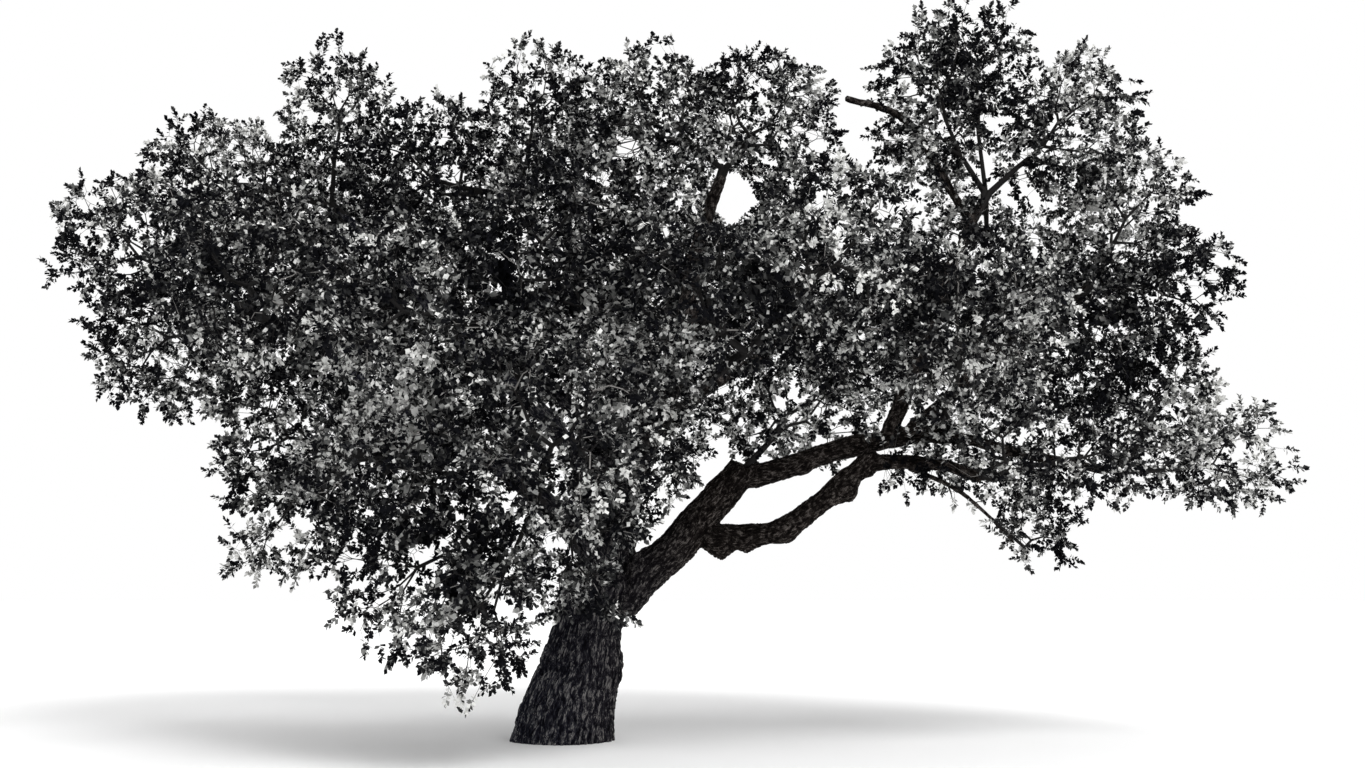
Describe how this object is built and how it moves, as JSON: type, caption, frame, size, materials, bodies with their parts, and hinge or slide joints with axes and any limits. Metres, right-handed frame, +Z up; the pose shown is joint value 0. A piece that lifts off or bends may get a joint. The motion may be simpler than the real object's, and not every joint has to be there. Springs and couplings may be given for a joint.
{
  "type": "oak tree",
  "caption": "Broad evergreen oak with a short leaning trunk, a long low bough on one side and a wide, dense crown, rooted in level ground.",
  "frame": {"origin": "middle of the flat cut under the trunk, at ground level", "axes": "+Z up; +X along the crown's widest spread, towards the long low bough; -Y is the side the tree is seen from"},
  "size_m": [14.7855, 9.4048, 9.3543],
  "materials": {
    "bark": "rough, deeply furrowed",
    "foliage": "leathery, slightly glossy"
  },
  "bodies": {
    "root": {"trunk": "bark", "leader": "bark", "east_bough": "bark", "east_arm": "bark", "loop_low": "bark", "loop_rise": "bark", "east_rail": "bark", "spire_bough": "bark", "shoulder_bough": "bark", "droop": "bark", "west_bough": "bark", "west_upper": "bark", "west_lower": "bark", "left_front_limb": "bark", "crown_limb": "bark", "left_back_limb": "bark", "low_front_limb": "bark", "front_limb": "bark", "back_limb": "bark", "cut_stub": "bark", "west_tip": "foliage", "west_low": "foliage", "west_front": "foliage", "west_high": "foliage", "west_spire": "foliage", "west_back": "foliage", "west_under": "foliage", "west_hang": "foliage", "left_under": "foliage", "left_front": "foliage", "front_high": "foliage", "left_crown": "foliage", "middle_spire": "foliage", "middle_crown": "foliage", "left_back": "foliage", "middle_back": "foliage", "front": "foliage", "trunk_front": "foliage", "trunk_hang": "foliage", "left_hang": "foliage", "top_left": "foliage", "top_right": "foliage", "centre_front": "foliage", "centre_low": "foliage", "right_front": "foliage", "right_low": "foliage", "centre_back": "foliage", "right_back": "foliage", "spire_left": "foliage", "spire_top": "foliage", "spire_right": "foliage", "spire_low": "foliage", "east_shoulder": "foliage", "east_high": "foliage", "east_front": "foliage", "east_middle": "foliage", "east_low": "foliage", "east_end": "foliage", "east_tip": "foliage", "east_drip": "foliage"}
  },
  "joints": []
}
